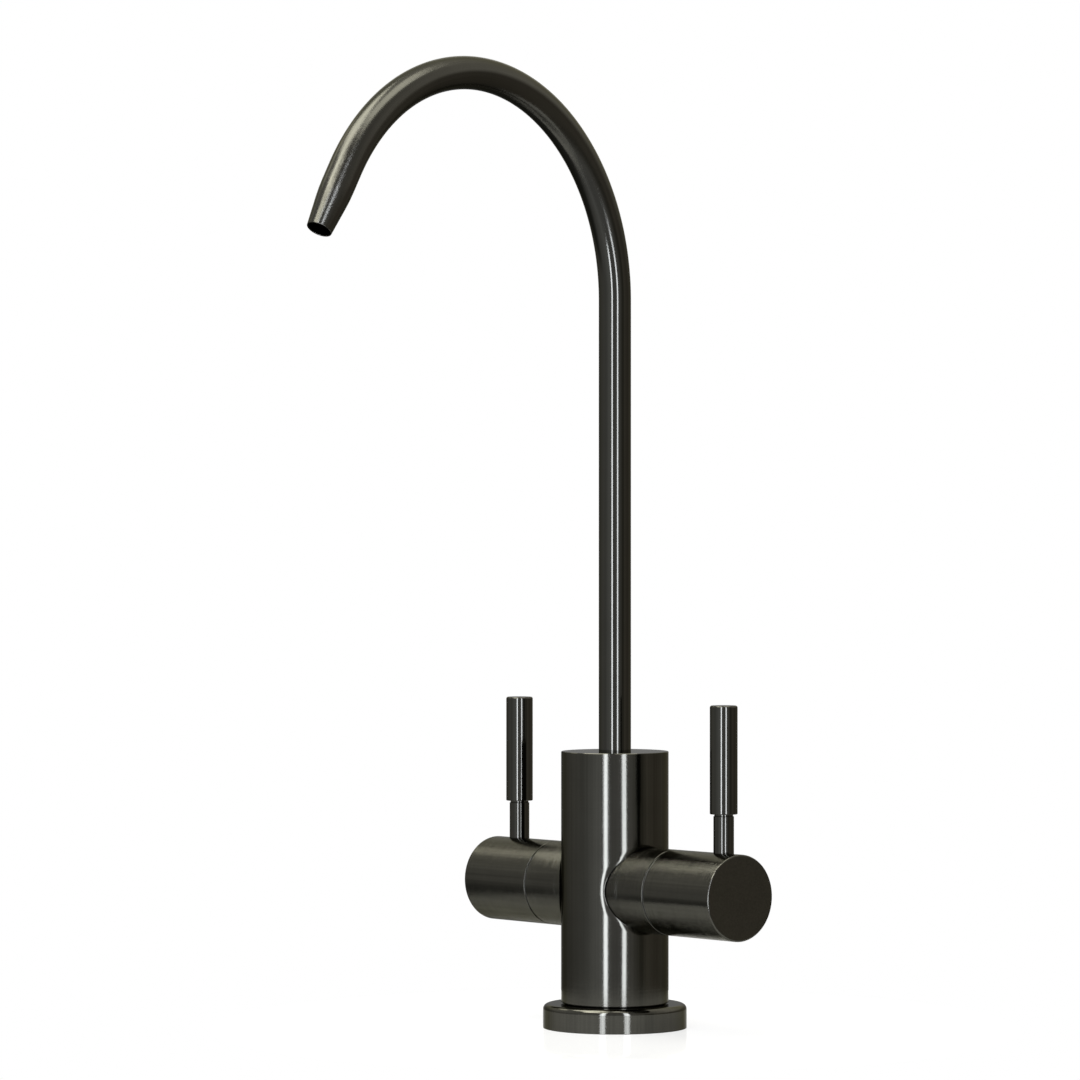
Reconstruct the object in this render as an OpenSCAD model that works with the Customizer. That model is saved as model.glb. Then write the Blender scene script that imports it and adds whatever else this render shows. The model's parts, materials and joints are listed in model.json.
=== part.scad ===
// Deck-mounted drinking water tap with two quarter-turn levers and a swivelling swan-neck spout.
// Millimetres. +Z is up, the arms lie along X, the front is -Y.
// The origin is on the column's axis, at the deck under the base flange.

/* [Column] */
// Outside diameter of the column
column_d = 32; // [30:0.5:40]
// Height of the column above the flange
column_h = 75; // [72:0.2:100]
// Chamfer on the column's top edge
column_edge = 0.15; // [0.1:0.05:1]
// Height of the shadow groove at the column's foot
shadow_h = 0.5; // [0.2:0.1:1]
// Depth of the shadow groove
shadow_depth = 0.5; // [0.2:0.1:1]

/* [Base flange] */
// Outside diameter of the base flange
flange_d = 42.8; // [40:0.1:60]
// Height of the base flange
flange_h = 7.2; // [5:0.1:12]
// Radius of the flange's rounded top edge
flange_edge = 1.7; // [0.4:0.1:2.2]
// Diameter of the column's spigot inside the flange
spigot_d = 27; // [26:0.5:28]
// Distance from the deck up to the spigot's end
spigot_recess = 0.2; // [0.1:0.1:0.5]
// Width of the gasket ring let into the flange's underside
gasket_w = 3; // [2:0.1:4]
// Thickness of the gasket ring
gasket_t = 1.6; // [1:0.1:3]

/* [Deck connections] */
// Bore of each hose socket, the tapping size of M10 x 1
port_d = 9; // [8:0.1:9.5]
// Depth of each hose socket
port_depth = 12; // [8:0.5:16]
// Distance of each hose socket to the side of the axis
port_x = 5.8; // [5.2:0.1:6.4]
// Distance of the hose sockets in front of the axis
port_y = 3.4; // [2:0.1:4]
// Diameter of the drilling from a hose socket up to its valve
passage_d = 5.5; // [4:0.1:6]
// Bore of the fixing stud's socket, the tapping size of M8
stud_d = 6.8; // [5:0.1:7]
// Depth of the fixing stud's socket
stud_depth = 20; // [12:0.5:24]
// Distance of the fixing stud's socket behind the axis
stud_y = 8.2; // [7.6:0.1:9]

/* [Side arms] */
// Outside diameter of both arms
arm_d = 25.3; // [24:0.1:28]
// Distance of the arms' axis below the column's top
arm_drop = 40.6; // [38:0.1:50]
// Length of a valve boss beyond the column's side
boss_len = 10.6; // [9:0.1:16]
// Wall of a valve boss
boss_wall = 2.3; // [1.8:0.1:2.8]
// Length of a handle hub
hub_len = 28.5; // [26:0.1:36]
// Wall of a hub's skirt
hub_wall = 1.6; // [1.2:0.1:2]
// Radius of a hub's rounded outer end
hub_edge = 0.5; // [0.2:0.1:1]
// Chamfer on both sides of the seam between boss and hub
seam_edge = 0.1; // [0.05:0.05:0.4]
// Thickness of the glide ring in the seam
glide_t = 0.4; // [0.3:0.1:1]
// Distance of the glide ring's rim below the arm's surface
glide_inset = 0.3; // [0.2:0.1:0.5]

/* [Levers] */
// Distance of a lever's axis from the hub's outer end
lever_inset = 9.1; // [7:0.1:11]
// Distance of a lever's axis behind the arm's axis
lever_back = 1.7; // [0:0.1:1.8]
// Diameter of a lever stem
stem_d = 6; // [5.6:0.1:8]
// Length of a stem between the hub and the grip
stem_len = 11.25; // [8:0.25:20]
// Depth of the stem's seat in the hub
stem_seat = 1.4; // [1.2:0.1:2]
// Diameter of the threaded ends of a stem
stem_thread_d = 5; // [4:0.1:5.2]
// Length of the stem's threaded end in the hub
hub_thread_len = 5.6; // [4:0.1:6]
// Length of the stem's threaded end in the grip
grip_thread_len = 8; // [6:0.5:16]
// Height of the neck under the grip
neck_h = 0.6; // [0.3:0.1:1.5]
// Depth of the neck under the grip
neck_depth = 0.25; // [0.1:0.05:0.3]
// Diameter of a grip
grip_d = 8.1; // [7.6:0.1:12]
// Length of a grip
grip_len = 31.6; // [24:0.2:60]
// Radius of the grip's rounded ends
grip_edge = 0.6; // [0.2:0.1:1.2]
// Diameter of the grub screw under a hub
grub_d = 4; // [3:0.5:5]
// Length of the grub screw
grub_len = 5; // [4:0.5:6]
// Width across flats of the grub screw's key socket
grub_key = 2; // [1.5:0.5:2]
// Depth of the grub screw's key socket
grub_key_depth = 2; // [1.5:0.5:2.5]

/* [Valves] */
// Wall between a water passage and the valve seat beside it
seat_wall = 0.6; // [0.4:0.1:1]
// Diameter of the hole through the valve seat
seat_d = 6; // [5:0.1:7]
// Step from the boss's bore to the valve chamber in the column
chamber_step = 1.05; // [0.8:0.05:1.4]
// Gap between the cartridge's nose and the seat face
nose_gap = 0.4; // [0.2:0.1:0.8]
// Wall of the cartridge's nose
nose_wall = 1.2; // [1:0.1:1.4]
// Thickness of the seat seal
seal_t = 1.9; // [1.4:0.1:2.4]
// Width of the seat seal's ring
seal_w = 1.4; // [1:0.1:1.5]
// Diameter of the ceramic discs
disc_d = 11; // [10.6:0.1:11.6]
// Thickness of each ceramic disc
disc_t = 2.5; // [2:0.1:2.8]
// Inner diameter of the discs' water ports
port_in_d = 4.4; // [4:0.1:5]
// Outer diameter of the discs' water ports
port_out_d = 8; // [7:0.1:8.2]
// Angle that each disc port spans
port_span = 70; // [50:1:72]
// Diameter of the spindle
spindle_d = 8; // [7:0.1:8.4]
// Thickness of the spindle's foot
foot_t = 1.9; // [1.5:0.1:2.2]
// Width of the key between spindle and moving disc
key_w = 2.4; // [1.8:0.1:2.4]
// Height of that key
key_h = 1; // [0.6:0.1:1.4]
// Length of that key across the disc
key_len = 8.6; // [7:0.1:9]
// Number of serrations on the spindle's end
spline_teeth = 20; // [16:1:24]
// Depth of the serrations
spline_depth = 0.45; // [0.3:0.05:0.6]
// Length of the serrated end past the lever's axis
spline_past = 3.5; // [2:0.1:5]
// Length of the cartridge's hexagon
hex_len = 4; // [3:0.1:5]
// Gap between the hexagon's corners and the hub's skirt
hex_gap = 0.6; // [0.4:0.1:1]
// Length of the cartridge's neck beyond the hexagon
collar_len = 2; // [1.5:0.1:3]
// Wall of the cartridge's neck
collar_wall = 2.4; // [1.8:0.1:3]
// Thickness of the spindle clip
clip_t = 0.9; // [0.6:0.1:1.2]
// Depth of the spindle clip's groove
clip_depth = 0.8; // [0.5:0.1:1]
// Opening of the spindle clip
clip_open = 60; // [40:5:90]
// Thickness of the O-rings around spindle and cartridge
valve_oring_t = 1.3; // [1:0.1:1.5]

/* [Spout] */
// Outside diameter of the spout tube
tube_d = 9.6; // [9:0.1:12]
// Wall of the spout tube
tube_wall = 1; // [0.8:0.1:1.2]
// Height of the straight riser above the column
riser_h = 134.1; // [80:0.1:200]
// Radius of the arch along the tube's centre line
arch_r = 63.4; // [40:0.2:90]
// Angle that the arch turns through
arch_angle = 148.6; // [120:0.2:175]
// Length of the straight end after the arch
tip_len = 20.4; // [16:0.1:40]
// Length of the taper at the nozzle
taper_len = 11.9; // [6:0.1:14]
// Outside diameter of the nozzle's rim
tip_d = 7.35; // [6.6:0.05:8.6]
// Wall at the nozzle's rim
tip_wall = 0.4; // [0.3:0.05:0.8]
// Angle that the spout stands to the right of straight ahead
spout_swing = 9.3; // [-180:0.1:180]

/* [Spout seat] */
// Diameter of the outlet drilling between the two valves
outlet_d = 3.4; // [2.6:0.1:3.6]
// Wall between the outlet drilling and the spout's seat
seat_floor = 2.2; // [1.5:0.1:4]
// Diameter of the water way through the spout's seat and tail
tail_bore_d = 5; // [4:0.1:5.2]
// Thickness of the glide washer under the tail
washer_t = 0.8; // [0.5:0.1:1.5]
// Length of the tail below the tube's end
tail_len = 13; // [12:0.5:16]
// Length of the tail's plug inside the tube
plug_len = 8; // [5:0.5:12]
// Lead-in chamfer at the tail's foot
tail_edge = 0.4; // [0.2:0.1:0.6]
// Length of the tail's land below the lower O-ring
oring_land = 1.4; // [1:0.1:2]
// Thickness of the spout's O-rings
spout_oring_t = 1.3; // [1:0.1:1.5]
// Distance between the spout's O-rings
oring_pitch = 3.4; // [2.8:0.1:4]
// Thickness of the snap ring that holds the spout down
snap_t = 1; // [0.8:0.1:1.2]
// Depth of the snap ring in the column and in the tail
snap_depth = 0.8; // [0.5:0.1:1]
// Opening of the snap ring
snap_open = 40; // [20:5:90]

/* [Fits] */
// Radial clearance of turning and sliding fits
running_fit = 0.06; // [0.02:0.01:0.09]
// Clearance of threaded, brazed and seated joints
joint_fit = 0.05; // [0.03:0.01:0.1]
// Axial play between pieces that turn on each other
axial_play = 0.1; // [0.05:0.01:0.2]

/* [Hidden] */

// Sides of the tap along X
left = -1;
right = 1;
// Sides of a round outline
$fn = 96;
// Extra length of a cutting shape past the face that it opens
cut = 1;

gunmetal = "#3f3d3a";
polished_gunmetal = "#2b2a29";
brass = "#b5933f";
steel = "#9a9a98";
rubber = "#1d1d1d";
glide_plastic = "#56554f";
alumina = "#efe9dd";

column_r = column_d / 2;
column_top = flange_h + column_h;
spigot_r = spigot_d / 2;
flange_r = flange_d / 2;
flange_hole_r = spigot_r + joint_fit;
gasket_mid_r = (flange_hole_r + flange_r) / 2;

arm_r = arm_d / 2;
arm_z = column_top - arm_drop;
boss_end = column_r + boss_len;
boss_bore_r = arm_r - boss_wall;
chamber_r = boss_bore_r - chamber_step;
hub_start = boss_end + glide_t + axial_play;
hub_end = hub_start + hub_len;
skirt_r = arm_r - hub_wall;
lever_u = hub_end - lever_inset;

// Stations along a valve's axis, measured outward from the column's axis
seat_u = port_x + passage_d / 2 + seat_wall;
nose_u = seat_u + nose_gap;
fixed_u = seat_u + seal_t;
moving_u = fixed_u + disc_t + axial_play / 2;
foot_u = moving_u + disc_t;
journal_u = foot_u + foot_t + axial_play;
shank_u = max(foot_u, column_r) + axial_play;
hex_end = boss_end + hex_len;
collar_end = hex_end + collar_len;
clip_u = collar_end + axial_play;
clip_end = clip_u + clip_t;
web_u = clip_end + clip_t;
spline_end = lever_u + spline_past;

disc_r = disc_d / 2;
nose_bore_r = disc_r + running_fit;
nose_r = nose_bore_r + nose_wall;
spindle_r = spindle_d / 2;
spindle_bore_r = spindle_r + running_fit;
cartridge_r = boss_bore_r - joint_fit;
hex_r = skirt_r - hex_gap;
collar_r = spindle_bore_r + collar_wall;
clip_r = collar_r - clip_depth;
valve_oring_u = (journal_u + boss_end) / 2;
outlet_z = arm_z + chamber_r - outlet_d / 2 - nose_gap;

stem_r = stem_d / 2;
stem_thread_r = stem_thread_d / 2;
stem_foot = arm_r - stem_seat;
stem_top = arm_r + stem_len;
grip_r = grip_d / 2;
grub_r = grub_d / 2;
grub_tip = spindle_r;

tube_r = tube_d / 2;
tube_bore_r = tube_r - tube_wall;
tip_r = tip_d / 2;
riser_top = column_top + riser_h;
spout_bore_r = tube_r + running_fit;
tail_bore_r = tail_bore_d / 2;
seat_z = outlet_z + outlet_d / 2 + seat_floor;
tail_z = seat_z + washer_t + axial_play;
tube_foot = tail_z + tail_len;
oring_z = tail_z + tail_edge + oring_land + spout_oring_t / 2;
snap_z = tube_foot - oring_pitch;
snap_groove_r = spout_bore_r + snap_depth;

// Groove cut into a turned outline at height z
function groove(z, width, root_r, outer_r) = [
    [outer_r, z - width / 2],
    [root_r, z - width / 2],
    [root_r, z + width / 2],
    [outer_r, z + width / 2]
];

// Star outline of the serrations, each radius enlarged by grow
function serrations(grow) = [
    for (i = [0 : 2 * spline_teeth - 1])
        let (r = spindle_r + grow - (i % 2) * spline_depth)
            r * [cos(i * 180 / spline_teeth), sin(i * 180 / spline_teeth)]
];

// Solid of revolution from a closed outline of [radius, height] points
module turned(outline) {
    rotate_extrude() polygon(outline);
}

// Flat ring with its lower face at z = 0
module ring(inner_r, outer_r, h) {
    turned([[inner_r, 0], [outer_r, 0], [outer_r, h], [inner_r, h]]);
}

// Flat ring with a gap, symmetric about +X
module open_ring(inner_r, outer_r, h, opening) {
    rotate(opening / 2)
        rotate_extrude(angle = 360 - opening)
            translate([inner_r, 0])
                square([outer_r - inner_r, h]);
}

// O-ring between two radii, centred on z = 0
module o_ring(inner_r, outer_r) {
    rotate_extrude()
        translate([(inner_r + outer_r) / 2, 0])
            circle((outer_r - inner_r) / 2);
}

// Half section of a round bar whose top edge is rounded
module rounded_section(r, h, edge) {
    square([r - edge, h]);
    square([r, h - edge]);
    translate([r - edge, h - edge]) circle(edge);
}

// Places a valve piece: its Z becomes the arm's outward axis and its X points up
module on_arm(side) {
    translate([0, 0, arm_z])
        rotate([0, side * 90, 0])
            rotate(side > 0 ? 180 : 0)
                children();
}

// Places a lever piece: its Z points up, and its origin is level with the arm's axis
module on_lever(side) {
    translate([side * lever_u, lever_back, arm_z]) children();
}

// Places a grub screw: its Z points down from the arm's axis
module on_grub(side) {
    translate([side * lever_u, 0, arm_z]) mirror([0, 0, 1]) children();
}

// Places a spout piece at the angle where the spout stands
module on_spout() {
    rotate(spout_swing) children();
}

// Outside of the column, with its spigot, shadow groove and top chamfer
module column_blank() {
    neck_r = column_r - shadow_depth;
    neck_z = flange_h + shadow_h;
    turned([
        [0, spigot_recess],
        [spigot_r, spigot_recess],
        [spigot_r, flange_h],
        [neck_r, flange_h],
        [neck_r, neck_z],
        [column_r, neck_z],
        [column_r, column_top - column_edge],
        [column_r - column_edge, column_top],
        [0, column_top]
    ]);
}

// Seat of the spout with the snap ring's groove and the water way below it
module spout_seat_cut() {
    translate([0, 0, seat_z]) cylinder(r = spout_bore_r, h = column_top - seat_z + cut);
    translate([0, 0, snap_z - snap_t / 2])
        cylinder(r = snap_groove_r + joint_fit, h = snap_t + joint_fit);
    translate([0, 0, outlet_z]) cylinder(r = tail_bore_r, h = seat_z - outlet_z + cut);
}

// Hose socket, the drilling above it, the hole in the valve seat and the valve chamber of one side
module supply_cut(side) {
    translate([side * port_x, -port_y, spigot_recess]) {
        translate([0, 0, -cut]) cylinder(d = port_d, h = port_depth + cut);
        cylinder(d = passage_d, h = arm_z - spigot_recess);
    }
    on_arm(side) {
        translate([0, 0, port_x]) cylinder(d = seat_d, h = seat_u - port_x + cut);
        translate([0, 0, seat_u]) cylinder(r = chamber_r, h = column_r);
    }
}

// Drilling that joins the two valve chambers under the spout's seat
module outlet_cut() {
    length = 2 * (seat_u + nose_gap);
    translate([-length / 2, 0, outlet_z]) rotate([0, 90, 0]) cylinder(d = outlet_d, h = length);
}

// Socket for the fixing stud
module stud_cut() {
    translate([0, stud_y, spigot_recess - cut]) cylinder(d = stud_d, h = stud_depth + cut);
}

module tap_body() {
    color(gunmetal) difference() {
        column_blank();
        spout_seat_cut();
        for (side = [left, right]) supply_cut(side);
        outlet_cut();
        stud_cut();
    }
}

module base_flange() {
    groove_w = gasket_w + 2 * joint_fit;
    color(gunmetal) rotate_extrude() difference() {
        rounded_section(flange_r, flange_h, flange_edge);
        translate([0, -cut]) square([flange_hole_r, flange_h + 2 * cut]);
        translate([gasket_mid_r - groove_w / 2, -cut]) square([groove_w, gasket_t + cut]);
    }
}

module base_gasket() {
    color(rubber) ring(gasket_mid_r - gasket_w / 2, gasket_mid_r + gasket_w / 2, gasket_t);
}

module valve_boss(side) {
    color(gunmetal) difference() {
        on_arm(side) turned([
            [boss_bore_r, 0],
            [arm_r, 0],
            [arm_r, boss_end - seam_edge],
            [arm_r - seam_edge, boss_end],
            [boss_bore_r, boss_end]
        ]);
        cylinder(r = column_r + joint_fit, h = column_top);
    }
}

// Quarter-turn cartridge: open nose with water windows, threaded shank, hexagon and collar
module cartridge(side) {
    groove_w = valve_oring_t + 2 * running_fit;
    groove_r = boss_bore_r - valve_oring_t;
    window_w = 2 * nose_bore_r * sin(port_span / 2);
    color(brass) on_arm(side) difference() {
        union() {
            turned(concat(
                [[0, nose_u], [nose_r, nose_u], [nose_r, shank_u], [cartridge_r, shank_u]],
                groove(valve_oring_u, groove_w, groove_r, cartridge_r),
                [[cartridge_r, boss_end], [0, boss_end]]
            ));
            translate([0, 0, boss_end]) cylinder(r = hex_r, h = hex_len, $fn = 6);
            translate([0, 0, boss_end]) cylinder(r = collar_r, h = collar_end - boss_end);
        }
        translate([0, 0, -cut]) cylinder(r = nose_bore_r, h = journal_u + cut);
        cylinder(r = spindle_bore_r, h = collar_end + cut);
        translate([-window_w / 2, -nose_r - cut, moving_u]) cube([window_w, 2 * (nose_r + cut), disc_t]);
    }
}

module cartridge_oring(side) {
    color(rubber) on_arm(side)
        translate([0, 0, valve_oring_u])
            o_ring(boss_bore_r - valve_oring_t + joint_fit, boss_bore_r - joint_fit);
}

module seat_seal(side) {
    color(rubber) on_arm(side) translate([0, 0, seat_u]) ring(disc_r - seal_w, disc_r, seal_t);
}

// Ceramic disc with two opposite water ports, turned by the given angle
module ceramic_disc(turn) {
    difference() {
        cylinder(r = disc_r, h = disc_t);
        for (end = [0, 180])
            rotate(turn + end - port_span / 2)
                translate([0, 0, -cut])
                    rotate_extrude(angle = port_span)
                        translate([port_in_d / 2, 0])
                            square([(port_out_d - port_in_d) / 2, disc_t + 2 * cut]);
    }
}

module fixed_disc(side) {
    color(alumina) on_arm(side) translate([0, 0, fixed_u]) ceramic_disc(90);
}

module moving_disc(side) {
    slot_w = key_w + 2 * joint_fit;
    slot_h = key_h + joint_fit;
    color(alumina) on_arm(side) difference() {
        translate([0, 0, moving_u]) ceramic_disc(0);
        translate([-slot_w / 2, -disc_r - cut, foot_u - slot_h])
            cube([slot_w, disc_d + 2 * cut, slot_h + cut]);
    }
}

module valve_spindle(side) {
    groove_w = valve_oring_t + 2 * running_fit;
    groove_r = spindle_bore_r - valve_oring_t;
    color(brass) on_arm(side) {
        turned(concat(
            [[0, foot_u], [disc_r - joint_fit, foot_u], [disc_r - joint_fit, foot_u + foot_t]],
            [[spindle_r, foot_u + foot_t]],
            groove(valve_oring_u, groove_w, groove_r, spindle_r),
            groove(clip_u + clip_t / 2, clip_t, spindle_r - clip_depth, spindle_r),
            [[spindle_r, web_u], [0, web_u]]
        ));
        translate([-key_w / 2, -key_len / 2, foot_u - key_h]) cube([key_w, key_len, key_h + foot_t / 2]);
        translate([0, 0, web_u]) linear_extrude(spline_end - web_u) polygon(serrations(-joint_fit));
    }
}

module spindle_oring(side) {
    color(rubber) on_arm(side)
        translate([0, 0, valve_oring_u])
            o_ring(spindle_bore_r - valve_oring_t + joint_fit, spindle_bore_r - joint_fit);
}

module spindle_clip(side) {
    color(steel) on_arm(side)
        translate([0, 0, clip_u])
            open_ring(spindle_r - clip_depth + joint_fit, clip_r, clip_t, clip_open);
}

module glide_ring(side) {
    color(glide_plastic) on_arm(side)
        translate([0, 0, boss_end])
            ring(skirt_r - hex_gap / 2, arm_r - glide_inset, glide_t);
}

// Half section of a hub: skirt with its seam chamfer, web and rounded outer end
module hub_section() {
    difference() {
        translate([0, hub_start]) rounded_section(arm_r, hub_len, hub_edge);
        translate([0, hub_start - cut]) square([skirt_r, web_u - hub_start + cut]);
        translate([arm_r, hub_start]) rotate(45) square(sqrt(2) * seam_edge, center = true);
    }
}

// Turning half of an arm: skirt over the cartridge, serrated socket, lever seat and grub hole
module handle_hub(side) {
    color(gunmetal) difference() {
        on_arm(side) difference() {
            rotate_extrude() hub_section();
            translate([0, 0, web_u - cut])
                linear_extrude(spline_end - web_u + axial_play + cut)
                    polygon(serrations(0));
        }
        on_lever(side) {
            translate([0, 0, stem_foot]) cylinder(r = stem_r + joint_fit, h = stem_seat + cut);
            translate([0, 0, stem_foot - hub_thread_len - axial_play])
                cylinder(r = stem_thread_r + joint_fit, h = hub_thread_len + axial_play + cut);
        }
        on_grub(side) cylinder(r = grub_r + joint_fit, h = arm_r + cut);
    }
}

module hub_grub_screw(side) {
    key_r = grub_key / sqrt(3);
    color(steel) on_grub(side) difference() {
        translate([0, 0, grub_tip]) cylinder(r = grub_r, h = grub_len);
        translate([0, 0, grub_tip + grub_len - grub_key_depth])
            cylinder(r = key_r, h = grub_key_depth + cut, $fn = 6);
    }
}

module lever_stem(side) {
    neck_r = stem_r - neck_depth;
    color(polished_gunmetal) on_lever(side) turned([
        [0, stem_foot - hub_thread_len],
        [stem_thread_r, stem_foot - hub_thread_len],
        [stem_thread_r, stem_foot],
        [stem_r, stem_foot],
        [stem_r, stem_top - neck_h],
        [neck_r, stem_top - neck_h],
        [neck_r, stem_top],
        [stem_thread_r, stem_top],
        [stem_thread_r, stem_top + grip_thread_len],
        [0, stem_top + grip_thread_len]
    ]);
}

module lever_grip(side) {
    color(polished_gunmetal) on_lever(side) translate([0, 0, stem_top]) difference() {
        rotate_extrude() rounded_section(grip_r, grip_len, grip_edge);
        translate([0, 0, -cut])
            cylinder(r = stem_thread_r + joint_fit, h = grip_thread_len + axial_play + cut);
    }
}

// Straight run of the tube from its foot in the column to the arch
module spout_riser() {
    translate([0, 0, tube_foot]) ring(tube_bore_r, tube_r, riser_top - tube_foot);
}

// Bent run of the tube, about a level axis in front of the riser's end
module spout_arch() {
    translate([0, -arch_r, riser_top])
        rotate([90, 0, 90])
            rotate_extrude(angle = arch_angle)
                translate([arch_r, 0])
                    difference() {
                        circle(tube_r);
                        circle(tube_bore_r);
                    }
}

// Straight end of the tube, drawn down to a thin-walled nozzle
module spout_nozzle() {
    straight = tip_len - taper_len;
    translate([0, -arch_r, riser_top])
        rotate([arch_angle, 0, 0])
            translate([0, arch_r, 0])
                turned([
                    [tube_bore_r, 0],
                    [tube_r, 0],
                    [tube_r, straight],
                    [tip_r, tip_len],
                    [tip_r - tip_wall, tip_len],
                    [tube_bore_r, straight]
                ]);
}

module spout_tube() {
    color(polished_gunmetal) on_spout() {
        spout_riser();
        spout_arch();
        spout_nozzle();
    }
}

module spout_tail() {
    oring_w = spout_oring_t + 2 * running_fit;
    oring_root_r = spout_bore_r - spout_oring_t;
    snap_w = snap_t + 2 * axial_play;
    plug_r = tube_bore_r - joint_fit;
    color(brass) turned(concat(
        [[tail_bore_r, tail_z], [tube_r - tail_edge, tail_z], [tube_r, tail_z + tail_edge]],
        groove(oring_z, oring_w, oring_root_r, tube_r),
        groove(oring_z + oring_pitch, oring_w, oring_root_r, tube_r),
        groove(snap_z, snap_w, tube_r - snap_depth, tube_r),
        [[tube_r, tube_foot], [plug_r, tube_foot], [plug_r, tube_foot + plug_len]],
        [[tail_bore_r, tube_foot + plug_len]]
    ));
}

module spout_orings() {
    color(rubber)
        for (i = [0, 1])
            translate([0, 0, oring_z + i * oring_pitch])
                o_ring(spout_bore_r - spout_oring_t + joint_fit, spout_bore_r - joint_fit);
}

module spout_snap_ring() {
    inner_r = tube_r - snap_depth + 2 * axial_play;
    color(steel)
        translate([0, 0, snap_z - snap_t / 2])
            open_ring(inner_r, snap_groove_r, snap_t, snap_open);
}

module spout_glide_washer() {
    color(glide_plastic)
        translate([0, 0, seat_z])
            ring(tail_bore_r, spout_bore_r - joint_fit, washer_t);
}

tap_body();
base_flange();
base_gasket();
valve_boss(left);  // left_valve_boss
cartridge(left);  // left_cartridge
cartridge_oring(left);  // left_cartridge_oring
seat_seal(left);  // left_seat_seal
fixed_disc(left);  // left_fixed_disc
glide_ring(left);  // left_glide_ring
moving_disc(left);  // left_moving_disc
valve_spindle(left);  // left_valve_spindle
spindle_oring(left);  // left_spindle_oring
spindle_clip(left);  // left_spindle_clip
handle_hub(left);  // left_handle_hub
hub_grub_screw(left);  // left_hub_grub_screw
lever_stem(left);  // left_lever_stem
lever_grip(left);  // left_lever_grip
valve_boss(right);  // right_valve_boss
cartridge(right);  // right_cartridge
cartridge_oring(right);  // right_cartridge_oring
seat_seal(right);  // right_seat_seal
fixed_disc(right);  // right_fixed_disc
glide_ring(right);  // right_glide_ring
moving_disc(right);  // right_moving_disc
valve_spindle(right);  // right_valve_spindle
spindle_oring(right);  // right_spindle_oring
spindle_clip(right);  // right_spindle_clip
handle_hub(right);  // right_handle_hub
hub_grub_screw(right);  // right_hub_grub_screw
lever_stem(right);  // right_lever_stem
lever_grip(right);  // right_lever_grip
spout_tube();
spout_tail();
spout_orings();
spout_snap_ring();
spout_glide_washer();
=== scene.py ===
"""Looks of a two-lever drinking water tap, built in metres round its packed CAD frame.

The shells that show are turned and swept meshes with true rounded edges. The column, the hubs and the
inner works keep their CAD meshes and get finishes of their own. A plain studio stands round the tap.
"""

import json
import logging
import math
from abc import ABC, abstractmethod
from collections.abc import Callable, Mapping, Sequence
from dataclasses import dataclass, replace
from enum import Enum
from functools import cache
from typing import Any

import bpy
from mathutils import Matrix, Vector


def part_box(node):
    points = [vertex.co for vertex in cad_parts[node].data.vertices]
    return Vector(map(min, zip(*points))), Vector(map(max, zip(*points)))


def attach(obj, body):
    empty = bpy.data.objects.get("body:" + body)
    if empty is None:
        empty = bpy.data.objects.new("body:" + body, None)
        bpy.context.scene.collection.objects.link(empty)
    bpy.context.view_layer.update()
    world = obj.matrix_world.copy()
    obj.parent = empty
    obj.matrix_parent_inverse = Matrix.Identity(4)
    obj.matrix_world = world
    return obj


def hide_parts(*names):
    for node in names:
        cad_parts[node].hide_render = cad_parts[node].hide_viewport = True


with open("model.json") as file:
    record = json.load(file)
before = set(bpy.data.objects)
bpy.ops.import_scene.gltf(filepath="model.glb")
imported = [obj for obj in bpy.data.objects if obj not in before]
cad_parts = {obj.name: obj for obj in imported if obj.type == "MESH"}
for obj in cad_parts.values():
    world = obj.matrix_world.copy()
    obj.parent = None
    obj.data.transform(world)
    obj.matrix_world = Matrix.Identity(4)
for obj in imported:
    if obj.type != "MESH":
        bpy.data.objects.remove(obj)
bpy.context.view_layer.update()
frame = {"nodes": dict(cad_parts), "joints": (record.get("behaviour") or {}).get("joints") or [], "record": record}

LOG = logging.getLogger("tap")
STRAIGHT = "straight"  # mesh attribute with each point's place on the straightened spout
MM = 0.001
COLUMN_RADIUS = 16 * MM
FLANGE_HEIGHT = 7.2 * MM
ARM_RADIUS = 12.65 * MM
ARM_HEIGHT = 41.6 * MM
RISER_TOP = 216.3 * MM

Colour = tuple[float, float, float]
Place = Callable[[float], Matrix]
Tones = tuple[tuple[float, Colour], ...]
BLACK: Colour = (0.0, 0.0, 0.0)
WHITE: Colour = (1.0, 1.0, 1.0)


class Side(Enum):
    """The two sides of the tap along X."""

    LEFT = -1
    RIGHT = 1

    def node(self, piece: str) -> str:
        """Name of this side's CAD node for a piece."""
        return f"{self.name.lower()}_{piece}"

    def pivot(self) -> Vector:
        """Point of the arm's axis where this side's lever turns, from the frame's joint."""
        body = f"{self.name.lower()}_handle"
        return Vector(next(joint["pos_m"] for joint in frame["joints"] if joint["child"] == body))


class Lay(Enum):
    """Where the fine turning lines of a metal piece take their place from."""

    UPRIGHT = "rings about a vertical axis"
    ARM = "rings about the arms' axis"
    RUN = "rings along the piece's own run"


class Face(Enum):
    """Ways that a boss's surfaces face."""

    OUT = "away from the arm's axis"
    BORE = "towards the arm's axis"
    COLUMN = "towards the column's axis"


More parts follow.
